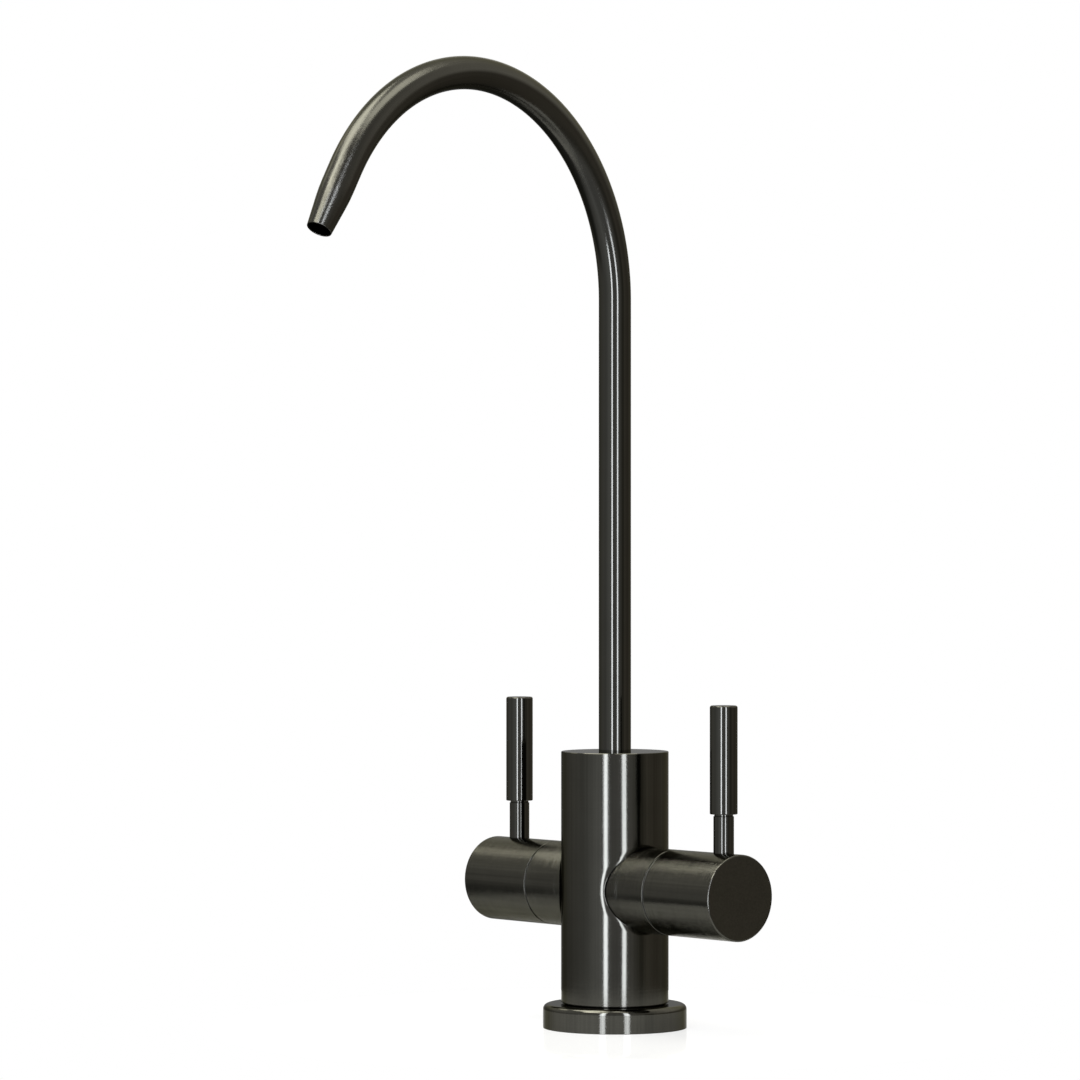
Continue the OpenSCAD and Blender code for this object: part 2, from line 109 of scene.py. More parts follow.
class Sock:
    """A shader value that Python operators combine through Math nodes."""

    def __init__(self, graph: "Graph", socket: bpy.types.NodeSocket) -> None:
        """Keeps a node's output and the graph that it belongs to."""
        self.graph = graph
        self.socket = socket

    def math(self, operation: str, first: "Sock | float", second: "Sock | float" = 0.0) -> "Sock":
        """Adds one Math node.

        Args:
            operation: The Math node's operation.
            first: Its first operand.
            second: Its second operand.

        Returns:
            The node's result.
        """
        return self.graph.node("ShaderNodeMath", {"operation": operation}, {0: first, 1: second})

    def __add__(self, other: "Sock | float") -> "Sock":
        """This value plus another."""
        return self.math("ADD", self, other)

    def __radd__(self, other: float) -> "Sock":
        """A number plus this value."""
        return self.math("ADD", other, self)

    def __sub__(self, other: "Sock | float") -> "Sock":
        """This value less another."""
        return self.math("SUBTRACT", self, other)

    def __rsub__(self, other: float) -> "Sock":
        """A number less this value."""
        return self.math("SUBTRACT", other, self)

    def __mul__(self, other: "Sock | float") -> "Sock":
        """This value times another."""
        return self.math("MULTIPLY", self, other)

    def __rmul__(self, other: float) -> "Sock":
        """A number times this value."""
        return self.math("MULTIPLY", other, self)

    def __truediv__(self, other: "Sock | float") -> "Sock":
        """This value over another."""
        return self.math("DIVIDE", self, other)

    def __rtruediv__(self, other: float) -> "Sock":
        """A number over this value."""
        return self.math("DIVIDE", other, self)


class Graph:
    """A node tree that is being filled."""

    def __init__(self, tree: bpy.types.NodeTree) -> None:
        """Takes over a tree and empties it."""
        self.tree = tree
        tree.nodes.clear()

    def node(
        self,
        kind: str,
        settings: Mapping[str, Any] | None = None,
        inputs: Mapping[int | str, Any] | None = None,
        output: int | str = 0,
    ) -> Sock | None:
        """Adds any node: its settings first, then its sockets.

        Args:
            kind: The node's type.
            settings: Properties by name; "stops" holds a ramp's (position, colour) pairs.
            inputs: Values or links by the socket's name or index.
            output: Name or index of the output that is wanted.

        Returns:
            That output, or nothing for a node that ends the tree.
        """
        made = self.tree.nodes.new(kind)
        for name, value in (settings or {}).items():
            if name == "stops":
                self._set_stops(made.color_ramp, value)
            else:
                setattr(made, name, value)
        for name, value in (inputs or {}).items():
            if isinstance(value, Sock):
                self.tree.links.new(value.socket, made.inputs[name])
            else:
                made.inputs[name].default_value = value
        return Sock(self, made.outputs[output]) if made.outputs else None

    @staticmethod
    def _set_stops(ramp: bpy.types.ColorRamp, stops: Sequence[tuple[float, Colour]]) -> None:
        """Gives a colour ramp its stops.

        Args:
            ramp: The ramp to fill.
            stops: Positions from 0 to 1 in rising order, each with its colour.
        """
        while len(ramp.elements) < len(stops):
            ramp.elements.new(1.0)
        for element, (position, colour) in zip(ramp.elements, stops):
            element.position = position
            element.color = (*colour, 1.0)

    def noise(self, where: Sock, scale: float, detail: float = 2.0) -> Sock:
        """Smooth noise from 0 to 1.

        Args:
            where: Vector at which the noise is read.
            scale: Features per metre of that vector.
            detail: Octaves of finer noise on top.

        Returns:
            The noise value.
        """
        return self.node("ShaderNodeTexNoise", {}, {"Vector": where, "Scale": scale, "Detail": detail})

    def mix(self, factor: Sock, low: Sock | Colour, high: Sock | Colour) -> Sock:
        """Colour between two others.

        Args:
            factor: 0 for the first colour, 1 for the second.
            low: First colour.
            high: Second colour.

        Returns:
            The mixed colour.
        """
        low, high = (end if isinstance(end, Sock) else (*end, 1.0) for end in (low, high))
        return self.node("ShaderNodeMix", {"data_type": "RGBA"}, {0: factor, 6: low, 7: high}, 2)

    def step(self, value: Sock, start: float, stop: float, first: float = 0.0, last: float = 1.0) -> Sock:
        """Smooth step from one value to another.

        Args:
            value: What decides.
            start: Where the step begins.
            stop: Where it ends.
            first: Result before the step.
            last: Result after it.

        Returns:
            The stepped value.
        """
        inputs = {"Value": value, "From Min": start, "From Max": stop, "To Min": first, "To Max": last}
        return self.node("ShaderNodeMapRange", {"interpolation_type": "SMOOTHSTEP"}, inputs)

    def stretch(self, where: Sock, factors: Colour) -> Sock:
        """A vector with each of its parts multiplied by a factor."""
        return self.node("ShaderNodeVectorMath", {"operation": "MULTIPLY"}, {0: where, 1: factors})

    def bump(self, height: Sock, distance: float) -> Sock:
        """Normal of a bumped surface.

        Args:
            height: The bump's height.
            distance: Metres that a height of 1 stands for.

        Returns:
            The normal.
        """
        return self.node("ShaderNodeBump", {}, {"Strength": 1.0, "Distance": distance, "Height": height})

    def surface(self, inputs: Mapping[int | str, Any]) -> None:
        """Ends a material in a Principled shader with these inputs."""
        shader = self.node("ShaderNodeBsdfPrincipled", {}, inputs)
        self.node("ShaderNodeOutputMaterial", {}, {"Surface": shader})


@dataclass(frozen=True)
class Finish(ABC):
    """A finish that belongs to one of the record's material slots."""

    slot: str

    @cache
    def material(self, lay: Lay) -> bpy.types.Material:
        """The finish as a material, made once for each lay.

        Args:
            lay: Where the turning lines take their place from.

        Returns:
            The material.
        """
        made = bpy.data.materials.new(f"{self.slot}.{lay.name}".lower())
        made.use_nodes = True
        self.fill(Graph(made.node_tree), lay)
        return made

    @abstractmethod
    def fill(self, graph: Graph, lay: Lay) -> None:
        """Makes the finish's nodes.

        Args:
            graph: The material's empty graph.
            lay: Where the turning lines take their place from.
        """


@dataclass(frozen=True)
class Look:
    """What changes over a metal surface; the height is in metres."""

    colour: Sock
    roughness: Sock
    height: Sock


@dataclass(frozen=True)
class TurnedMetal(Finish):
    """Metal with the fine rings of a lathe or a brushing belt."""

    low: Colour
    high: Colour
    edge_tint: Colour
    roughness: float
    roughness_spread: float
    line_pitch: float
    line_depth: float
    arm_depth: float
    ring_run: float = 60 * MM
    streak: float = 0.5 * MM
    streak_run: float = 90 * MM
    cloud: float = 9 * MM
    line_share: float = 0.4
    streak_share: float = 1.2
    cloud_share: float = 0.4

    def fill(self, graph: Graph, lay: Lay) -> None:
        """Makes rings of fine lines, with streaks and clouds of a slightly different sheen.

        Args:
            graph: The material's empty graph.
            lay: Where the lines take their place from.
        """
        if lay is Lay.RUN:
            where = graph.node("ShaderNodeAttribute", {"attribute_name": STRAIGHT}, {}, "Vector")
        else:
            where = graph.node("ShaderNodeTexCoord", {}, {}, "Object")
        look = self._look(graph, where, lay)
        graph.surface({
            "Base Color": look.colour,
            "Metallic": 1.0,
            "Roughness": look.roughness,
            "Specular Tint": (*self.edge_tint, 1.0),
            "Normal": graph.bump(look.height, 1.0),
        })

    def _look(self, graph: Graph, where: Sock, lay: Lay) -> Look:
        """What changes over the surface.

        Args:
            graph: The material's graph.
            where: Place in metres.
            lay: Tells which way the axis points.

        Returns:
            The look.
        """
        lines = graph.noise(self._run(graph, where, lay, self.line_pitch, self.ring_run), 1.0, 3.0)
        streaks = graph.noise(self._run(graph, where, lay, self.streak_run, self.streak), 1.0, 3.0)
        clouds = graph.noise(where, 1 / self.cloud)
        change = (
            self.line_share * (lines - 0.5)
            + self.streak_share * (streaks - 0.5)
            + self.cloud_share * (clouds - 0.5)
        )
        return Look(
            graph.mix(0.5 + change, self.low, self.high),
            self.roughness + self.roughness_spread * change,
            lines * (self.arm_depth if lay is Lay.ARM else self.line_depth),
        )

    @staticmethod
    def _run(graph: Graph, where: Sock, lay: Lay, length: float, width: float) -> Sock:
        """Place on the surface, measured in marks of one size along the axis and another across it.

        Args:
            graph: The material's graph.
            where: Place in metres.
            lay: Tells which way the axis points.
            length: Size of a mark along the axis.
            width: Size of a mark across it.

        Returns:
            The stretched place.
        """
        along, across = 1 / length, 1 / width
        return graph.stretch(where, (along, across, across) if lay is Lay.ARM else (across, across, along))


@dataclass(frozen=True)
class SeatedMetal(TurnedMetal):
    """Turned metal where a level arm enters an upright column, and where the column stands on its flange.

    The column falls softly towards the arm, and the arm is coarser close to the column. Along both joints the
    colour is painted near black in a thin line, a painted shade for the crease between the parts.
    """

    arm_height: float = ARM_HEIGHT
    arm_radius: float = ARM_RADIUS
    column_radius: float = COLUMN_RADIUS
    column_foot: float = FLANGE_HEIGHT
    seat_reach: float = 1.4 * MM
    seat_depth: float = 0.12 * MM
    corner_reach: float = 14 * MM
    corner_roughness: float = 0.06
    corner_lines: float = 1.0
    # Painted shade lines: their width on the boss, their width at the column's foot, their fade, and how near
    # black they go
    shade_line_width: float = 0.5 * MM
    foot_shade_width: float = 0.22 * MM
    shade_line_fade: float = 0.15 * MM
    shade_line_strength: float = 0.95

    def _near(self, graph: Graph, where: Sock, plane: Colour, radius: float, reach: float) -> Sock:
        """1 on a cylinder, and down to 0 at some distance from it.

        Args:
            graph: The material's graph.
            where: Place in metres, with the cylinder's axis through the origin.
            plane: 1 for each direction across the cylinder and 0 along it.
            radius: The cylinder's radius.
            reach: The distance.

        Returns:
            The nearness.
        """
        across = graph.stretch(where, plane)
        distance = graph.node("ShaderNodeVectorMath", {"operation": "LENGTH"}, {0: across}, "Value")
        ends = {"From Min": radius, "From Max": radius + reach, "To Min": 1.0, "To Max": 0.0}
        return graph.node("ShaderNodeMapRange", {}, {"Value": distance, **ends})

    def _look(self, graph: Graph, where: Sock, lay: Lay) -> Look:
        """What changes over the surface of the column or of an arm.

        Args:
            graph: The material's graph.
            where: Place in metres.
            lay: Tells the column from the arms.

        Returns:
            The look.
        """
        look = super()._look(graph, where, lay)
        if lay is Lay.ARM:
            corner = self._near(graph, where, (1.0, 1.0, 0.0), self.column_radius, self.corner_reach)
            # Painted shade: the colour goes near black in a thin band where the boss meets the column, standing in
            # for the shade in that crease
            shade_line_end = self.column_radius + self.shade_line_width
            joint = self._near(graph, where, (1.0, 1.0, 0.0), shade_line_end, self.shade_line_fade)
            return Look(
                graph.mix(self.shade_line_strength * joint, look.colour, BLACK),
                look.roughness + self.corner_roughness * corner,
                look.height * (1.0 + self.corner_lines * corner),
            )
        level = graph.node(
            "ShaderNodeVectorMath", {"operation": "ADD"}, {0: where, 1: (0.0, 0.0, -self.arm_height)}
        )
        near = self._near(graph, level, (0.0, 1.0, 1.0), self.arm_radius, self.seat_reach)
        # Painted shade: the colour goes near black in a thin band at the column's foot, inside its shadow groove,
        # where shade falls
        height = graph.node("ShaderNodeSeparateXYZ", {}, {0: where}, "Z")
        above = height.math("ABSOLUTE", height - self.column_foot)
        joint = graph.step(above, self.foot_shade_width, self.foot_shade_width + self.shade_line_fade, 1.0, 0.0)
        return Look(
            graph.mix(self.shade_line_strength * joint, look.colour, BLACK),
            look.roughness,
            look.height - self.seat_depth * near * near,
        )


@dataclass(frozen=True)
class BentMetal(TurnedMetal):
    """Turned metal that is coarser on a bend, where it was polished by hand."""

    bend_start: float = RISER_TOP
    bend_blend: float = 40 * MM
    bend_roughness: float = 0.1
    bend_depth: float = 0.018 * MM

    def _look(self, graph: Graph, where: Sock, lay: Lay) -> Look:
        """What changes over the surface, along the tube and past the start of its bend.

        Args:
            graph: The material's graph.
            where: Place in metres on the straightened tube.
            lay: Tells which way the axis points.

        Returns:
            The look.
        """
        look = super()._look(graph, where, lay)
        run = graph.node("ShaderNodeSeparateXYZ", {}, {0: where}, "Z")
        bend = graph.step(run, self.bend_start, self.bend_start + self.bend_blend)
        return Look(
            look.colour,
            look.roughness + self.bend_roughness * bend,
            look.height * (1.0 + self.bend_depth / self.line_depth * bend),
        )


@dataclass(frozen=True)
class Moulded(Finish):
    """Plain rubber, plastic or ceramic with a fine surface grain."""

    low: Colour
    high: Colour
    roughness: float
    roughness_spread: float
    grain: float
    grain_depth: float

    def fill(self, graph: Graph, lay: Lay) -> None:
        """Makes a fine grain with soft clouds of colour.

        Args:
            graph: The material's empty graph.
            lay: Not used, because a moulded piece has no lines.
        """
        where = graph.node("ShaderNodeTexCoord", {}, {}, "Object")
        grain = graph.noise(where, 1 / self.grain, 3.0)
        clouds = graph.noise(where, 0.1 / self.grain)
        graph.surface({
            "Base Color": graph.mix(0.5 * grain + 0.5 * clouds, self.low, self.high),
            "Roughness": self.roughness + self.roughness_spread * (clouds - 0.5),
            "Normal": graph.bump(grain, self.grain_depth),
        })


FINISHES: dict[str, Finish] = {
    finish.slot: finish
    for finish in (
        TurnedMetal(
            "brushed_gunmetal",
            low=(0.049, 0.0482, 0.042),
            high=(0.0865, 0.0855, 0.0745),
            edge_tint=(0.455, 0.452, 0.42),
            roughness=0.11,
            roughness_spread=0.06,
            line_pitch=0.08 * MM,
            line_depth=0.0035 * MM,
            arm_depth=0.05 * MM,
        ),
        TurnedMetal(
            "polished_gunmetal",
            low=(0.053, 0.0525, 0.047),
            high=(0.075, 0.0745, 0.0665),
            edge_tint=(0.455, 0.452, 0.42),
            roughness=0.075,
            roughness_spread=0.03,
            line_pitch=0.08 * MM,
            line_depth=0.0005 * MM,
            arm_depth=0.0005 * MM,
        ),
        TurnedMetal(
            "plain_brass",
            low=(0.60, 0.43, 0.16),
            high=(0.74, 0.56, 0.25),
            edge_tint=(0.9, 0.85, 0.7),
            roughness=0.24,
            roughness_spread=0.12,
            line_pitch=0.2 * MM,
            line_depth=0.02 * MM,
            arm_depth=0.02 * MM,
        ),
        TurnedMetal(
            "plain_steel",
            low=(0.52, 0.52, 0.51),
            high=(0.64, 0.64, 0.63),
            edge_tint=(0.9, 0.9, 0.9),
            roughness=0.26,
            roughness_spread=0.1,
            line_pitch=0.12 * MM,
            line_depth=0.015 * MM,
            arm_depth=0.015 * MM,
        ),
        Moulded(
            "white_ceramic",
            low=(0.84, 0.81, 0.74),
            high=(0.90, 0.88, 0.82),
            roughness=0.2,
            roughness_spread=0.1,
            grain=0.12 * MM,
            grain_depth=0.002 * MM,
        ),
        Moulded(
            "black_rubber",
            low=(0.018, 0.018, 0.018),
            high=(0.032, 0.032, 0.031),
            roughness=0.62,
            roughness_spread=0.2,
            grain=0.2 * MM,
            grain_depth=0.015 * MM,
        ),
        Moulded(
            "grey_glide_plastic",
            low=(0.062, 0.062, 0.059),
            high=(0.084, 0.084, 0.080),
            roughness=0.42,
            roughness_spread=0.15,
            grain=0.25 * MM,
            grain_depth=0.008 * MM,
        ),
    )
}


# Brushed gunmetal with the dip, the coarser corner and the painted shade lines at the column's joints
JOINT_FINISH = SeatedMetal(**vars(FINISHES["brushed_gunmetal"]))
FLANGE_FINISH = replace(FINISHES["brushed_gunmetal"], roughness=0.065, roughness_spread=0.03)
BEND_FINISH = BentMetal(**vars(FINISHES["polished_gunmetal"]))


@dataclass(frozen=True)
class Edge:
    """A point of an outline or a ring, with the surface's normals just before it and just after it."""

    at: Vector
    before: Vector
    after: Vector


@dataclass(frozen=True)
class Corner:
    """A corner of a turned outline, rounded by an arc where it has a radius of its own."""

    radius: float
    height: float
    rounding: float = 0.0


class Outline:
    """Closed outline of a turned piece, with the solid on the left as it is followed."""

    arc_step = math.radians(9)

    def __init__(self, corners: Sequence[Corner]) -> None:
        """Works out the outline's rows.

        Args:
            corners: The outline's corners in order.
        """
        self.rows: list[Edge] = []
        for i, corner in enumerate(corners):
            self._turn(corners[i - 1], corner, corners[(i + 1) % len(corners)])

    @staticmethod
    def _flat(corner: Corner) -> Vector:
        """A corner as a point of the outline's plane."""
        return Vector((corner.radius, corner.height))

    def _turn(self, last: Corner, corner: Corner, following: Corner) -> None:
        """Adds the rows of one corner.

        Args:
            last: The corner before it.
            corner: The corner itself.
            following: The corner after it.
        """
        here = self._flat(corner)
        way_in = (here - self._flat(last)).normalized()
        way_out = (self._flat(following) - here).normalized()
        normal_in = Vector((way_in.y, -way_in.x))
        normal_out = Vector((way_out.y, -way_out.x))
        if not corner.rounding:
            self.rows.append(Edge(here, normal_in, normal_out))
            return
        turn = math.atan2(way_in.cross(way_out), way_in.dot(way_out))
        bulge = math.copysign(corner.rounding, turn)
        start = here - way_in * corner.rounding * math.tan(abs(turn) / 2)
        centre = start - normal_in * bulge
        steps = max(2, math.ceil(abs(turn) / self.arc_step))
        for step in range(steps + 1):
            normal = Matrix.Rotation(turn * step / steps, 2) @ normal_in
            self.rows.append(Edge(centre + normal * bulge, normal, normal))

    def rings(self, place: Place, sides: int) -> list[list[Edge]]:
        """Turns the outline about the axis of the given places.

        Args:
            place: Gives the frame of the axis at a height of the outline.
            sides: Points in each ring; a point on the axis is a ring of one.

        Returns:
            The rings of the skin.
        """
        return [self._ring(row, place(row.at.y), sides) for row in self.rows]

    @staticmethod
    def _ring(row: Edge, axis: Matrix, sides: int) -> list[Edge]:
        """One ring of the skin.

        Args:
            row: The outline's row.
            axis: Frame of the axis at that row.
            sides: Points in the ring.

        Returns:
            The ring's points.
        """
        turn = axis.to_3x3()
        points = []
        for k in range(sides if row.at.x > 0 else 1):
            around = Vector((math.cos(math.tau * k / sides), math.sin(math.tau * k / sides), 0.0))
            before = turn @ (around * row.before.x + Vector((0.0, 0.0, row.before.y)))
            after = turn @ (around * row.after.x + Vector((0.0, 0.0, row.after.y)))
            points.append(Edge(axis @ (around * row.at.x), before, after))
        return points


def along(axis: Matrix) -> Place:
    """Places along a straight axis.

    Args:
        axis: Frame whose Z is the axis.

    Returns:
        The function that gives the frame at a height.
    """
    return lambda height: axis @ Matrix.Translation((0.0, 0.0, height))


class Skin:
    """A closed mesh spanned between rings, with exact normals."""

    def __init__(self, name: str, rings: Sequence[Sequence[Edge]]) -> None:
        """Keeps the rings, and numbers their points in the order in which the mesh holds them.

        Args:
            name: The mesh's name.
            rings: The rings in order; the last one joins the first.
        """
        self.name = name
        self.rings = rings
        self.first: list[int] = []
        self.faces: list[tuple[int, ...]] = []
        self.normals: list[Vector] = []
        count = 0
        for ring in rings:
            self.first.append(count)
            count += len(ring)

    def mesh(self) -> bpy.types.Mesh:
        """Builds the mesh.

        Returns:
            The mesh, smooth and with its normals set.
        """
        for a in range(len(self.rings)):
            self._band(a, (a + 1) % len(self.rings))
        mesh = bpy.data.meshes.new(self.name)
        mesh.from_pydata([point.at for ring in self.rings for point in ring], [], self.faces)
        mesh.shade_smooth()
        mesh.normals_split_custom_set(self.normals)
        return mesh

    def _band(self, a: int, b: int) -> None:
        """Adds the faces between two rings.

        Args:
            a: Index of the lower ring.
            b: Index of the upper ring.
        """
        low, high = self.rings[a], self.rings[b]
        sides = max(len(low), len(high))
        for k in range(sides if sides > 1 else 0):
            ends = (k, (k + 1) % sides)
            corners = [(a, i, low[i].after) for i in (ends if len(low) > 1 else (0,))]
            corners += [(b, i, high[i].before) for i in (ends[::-1] if len(high) > 1 else (0,))]
            self.faces.append(tuple(self.first[ring] + i for ring, i, _ in corners))
            self.normals += [normal for _, _, normal in corners]


class Shop:
    """Puts finished meshes into the scene and dresses the CAD nodes that stay."""

    def __init__(self) -> None:
        """Notes the slot and the body that the record gives each CAD node."""
        self.slots = {part["node"]: part["material_slot"] for part in frame["record"]["subparts"]}
        self.bodies = {
            node: body
            for body, nodes in frame["record"]["behaviour"]["bodies"].items()
            for node in nodes
        }

    def stand_in(self, node: str, mesh: bpy.types.Mesh, lay: Lay, special: Finish | None = None) -> None:
        """Shows a mesh in place of a CAD node.

        Args:
            node: The node that it stands for.
            mesh: The finished mesh.
            lay: Where its turning lines take their place from.
            special: A finish for this piece alone, instead of the slot's usual one.
        """
        piece = bpy.data.objects.new(f"{node}_shell", mesh)
        bpy.context.scene.collection.objects.link(piece)
        mesh.materials.append((special or FINISHES[self.slots[node]]).material(lay))
        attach(piece, self.bodies[node])
        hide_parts(node)
        LOG.info("%s: %d faces, stands for %s", piece.name, len(mesh.polygons), node)

    def dress(self, node: str, lay: Lay, special: Finish | None = None) -> None:
        """Gives a CAD node that stays the finish of its slot.

        Args:
            node: The node's name.
            lay: Where its turning lines take their place from.
            special: A finish for this node alone, instead of the slot's usual one.
        """
        finish = special or FINISHES[self.slots[node]]
        frame["nodes"][node].material_slots[0].material = finish.material(lay)
        LOG.info("%s: dressed in %s", node, finish.slot)


def turned(name: str, corners: Sequence[Corner], place: Place, sides: int) -> bpy.types.Mesh:
    """A turned mesh.

    Args:
        name: The mesh's name.
        corners: Corners of its outline.
        place: Frame of the axis at a height of the outline.
        sides: Points round the axis.

    Returns:
        The mesh.
    """
    return Skin(name, Outline(corners).rings(place, sides)).mesh()


@dataclass(frozen=True)
class Column:
    """Upright body, with a soft dip round each boss."""

    def build(self, shop: Shop) -> None:
        """Dresses the column."""
        shop.dress("tap_body", Lay.UPRIGHT, JOINT_FINISH)


@dataclass(frozen=True)
class BaseFlange:
    """Round flange on the deck, with a groove for its gasket underneath."""

    radius: float = 21.4 * MM
    height: float = FLANGE_HEIGHT
    hole_radius: float = 13.55 * MM
    top_edge: float = 1.7 * MM
    foot_edge: float = 0.12 * MM
    groove_inner: float = 15.925 * MM
    groove_outer: float = 19.025 * MM
    groove_depth: float = 1.6 * MM
    sides: int = 192

    def build(self, shop: Shop) -> None:
        """Turns the flange and dresses its gasket.

        Args:
            shop: Takes the finished pieces.
        """
        corners = [
            Corner(self.hole_radius, 0.0),
            Corner(self.groove_inner, 0.0),
            Corner(self.groove_inner, self.groove_depth),
            Corner(self.groove_outer, self.groove_depth),
            Corner(self.groove_outer, 0.0),
            Corner(self.radius, 0.0, self.foot_edge),
            Corner(self.radius, self.height, self.top_edge),
            Corner(self.hole_radius, self.height),
        ]
        mesh = turned("base_flange_shell", corners, along(Matrix.Identity(4)), self.sides)
        shop.stand_in("base_flange", mesh, Lay.UPRIGHT, FLANGE_FINISH)
        shop.dress("base_gasket", Lay.UPRIGHT)


@dataclass(frozen=True)
class ValveArm:
    """One side arm: the fixed boss, and the valve inside."""

    side: Side
    column_radius: float = COLUMN_RADIUS
    radius: float = ARM_RADIUS
    bore_radius: float = 10.35 * MM
    end: float = 26.6 * MM
    end_edge: float = 0.1 * MM
    root_gap: float = 0.05 * MM
    sides: int = 192

    def axis(self) -> Matrix:
        """Frame with its Z along the arm, out of the column."""
        turn = Matrix.Rotation(math.radians(90 * self.side.value), 4, "Y")
        return Matrix.Translation((0.0, 0.0, self.side.pivot().z)) @ turn

    def build(self, shop: Shop) -> None:
        """Builds the boss and dresses the valve.

        Args:
            shop: Takes the finished pieces.
        """
        mesh = Skin("boss", self._sleeve()).mesh()
        shop.stand_in(self.side.node("valve_boss"), mesh, Lay.ARM, JOINT_FINISH)
        for piece in ("cartridge", "cartridge_oring", "seat_seal", "fixed_disc", "glide_ring"):
            shop.dress(self.side.node(piece), Lay.ARM)

    def _angles(self) -> list[float]:
        """Angles of the points round the arm."""
        return [math.tau * k / self.sides for k in range(self.sides)]

    def _saddle(self, radius: float, column: float, angle: float) -> Vector:
        """Point of the arm's frame on an upright cylinder about the column's axis.

        Args:
            radius: Distance from the arm's axis.
            column: Radius of the upright cylinder.
            angle: Angle round the arm.

        Returns:
            The point.
        """
        across = radius * math.sin(angle)
        return Vector((radius * math.cos(angle), across, math.sqrt(column**2 - across**2)))

    def _saddle_ring(self, radius: float, column: float, before: Face, after: Face) -> list[Edge]:
        """Ring of the boss that lies on an upright cylinder about the column's axis.

        Args:
            radius: Distance from the arm's axis.
            column: Radius of the upright cylinder.
            before: Way that the surface before the ring faces.
            after: Way that the surface after the ring faces.

        Returns:
            The ring.
        """
        axis = self.axis()
        turn = axis.to_3x3()
        ring = []
        for angle in self._angles():
            point = self._saddle(radius, column, angle)
            around = Vector((math.cos(angle), math.sin(angle), 0.0))
            inward = Vector((0.0, -point.y, -point.z)).normalized()
            ways = {Face.OUT: around, Face.BORE: -around, Face.COLUMN: inward}
            ring.append(Edge(axis @ point, turn @ ways[before], turn @ ways[after]))
        return ring

    def _sleeve(self) -> list[list[Edge]]:
        """Skin of the boss.

        Returns:
            Its rings, from the column to its end and back through the bore.
        """
        outward = Outline([
            Corner(self.bore_radius, 0.0),
            Corner(self.radius, 0.0),
            Corner(self.radius, self.end - self.end_edge),
            Corner(self.radius - self.end_edge, self.end),
            Corner(self.bore_radius, self.end),
        ])
        fit = self.column_radius + self.root_gap
        return [
            self._saddle_ring(self.radius, fit, Face.COLUMN, Face.OUT),
            *outward.rings(along(self.axis()), self.sides)[2:],
            self._saddle_ring(self.bore_radius, fit, Face.BORE, Face.COLUMN),
        ]


@dataclass(frozen=True)
class Lever:
    """One turning handle: hub, stem and grip, with the spindle that it turns."""

    side: Side
    hub_radius: float = ARM_RADIUS
    set_back: float = 1.7 * MM
    stem_radius: float = 3 * MM
    stem_seat: float = 1.4 * MM
    stem_length: float = 11.25 * MM
    thread_radius: float = 2.5 * MM
    hub_thread: float = 5.6 * MM
    grip_thread: float = 8 * MM
    thread_gap: float = 0.05 * MM
    neck_height: float = 0.6 * MM
    neck_radius: float = 2.75 * MM
    neck_edge: float = 0.12 * MM
    grip_radius: float = 4.05 * MM
    grip_length: float = 31.6 * MM
    grip_top_edge: float = 0.6 * MM
    grip_foot_edge: float = 0.25 * MM
    sides: int = 96

    def axis(self) -> Place:
        """Places up the lever, from the level of the arm's axis and a little behind it."""
        return along(Matrix.Translation(self.side.pivot() + Vector((0.0, self.set_back, 0.0))))

    def build(self, shop: Shop) -> None:
        """Builds stem and grip and dresses the pieces in and round the hub.

        Args:
            shop: Takes the finished pieces.
        """
        shop.dress(self.side.node("handle_hub"), Lay.ARM)
        self._stem(shop)
        self._grip(shop)
        for piece in ("moving_disc", "valve_spindle", "spindle_oring", "spindle_clip"):
            shop.dress(self.side.node(piece), Lay.ARM)
        shop.dress(self.side.node("hub_grub_screw"), Lay.UPRIGHT)

    def _stem(self, shop: Shop) -> None:
        """Turns the stem between its two threaded ends.

        Args:
            shop: Takes the finished pieces.
        """
        foot = self.hub_radius - self.stem_seat
        top = self.hub_radius + self.stem_length
        neck = top - self.neck_height
        corners = [
            Corner(0.0, foot - self.hub_thread),
            Corner(self.thread_radius, foot - self.hub_thread),
            Corner(self.thread_radius, foot),
            Corner(self.stem_radius, foot),
            Corner(self.stem_radius, neck, self.neck_edge),
            Corner(self.neck_radius, neck, self.neck_edge),
            Corner(self.neck_radius, top),
            Corner(self.thread_radius, top),
            Corner(self.thread_radius, top + self.grip_thread),
            Corner(0.0, top + self.grip_thread),
        ]
        mesh = turned("stem", corners, self.axis(), self.sides)
        shop.stand_in(self.side.node("lever_stem"), mesh, Lay.UPRIGHT)

    def _grip(self, shop: Shop) -> None:
        """Turns the grip with its blind hole for the stem's thread.

        Args:
            shop: Takes the finished pieces.
        """
        foot = self.hub_radius + self.stem_length
        top = foot + self.grip_length
        bore = self.thread_radius + self.thread_gap
        bore_top = foot + self.grip_thread + 2 * self.thread_gap
        corners = [
            Corner(bore, foot),
            Corner(self.grip_radius, foot, self.grip_foot_edge),
            Corner(self.grip_radius, top, self.grip_top_edge),
            Corner(0.0, top),
            Corner(0.0, bore_top),
            Corner(bore, bore_top),
        ]
        mesh = turned("grip", corners, self.axis(), self.sides)
        shop.stand_in(self.side.node("lever_grip"), mesh, Lay.UPRIGHT)


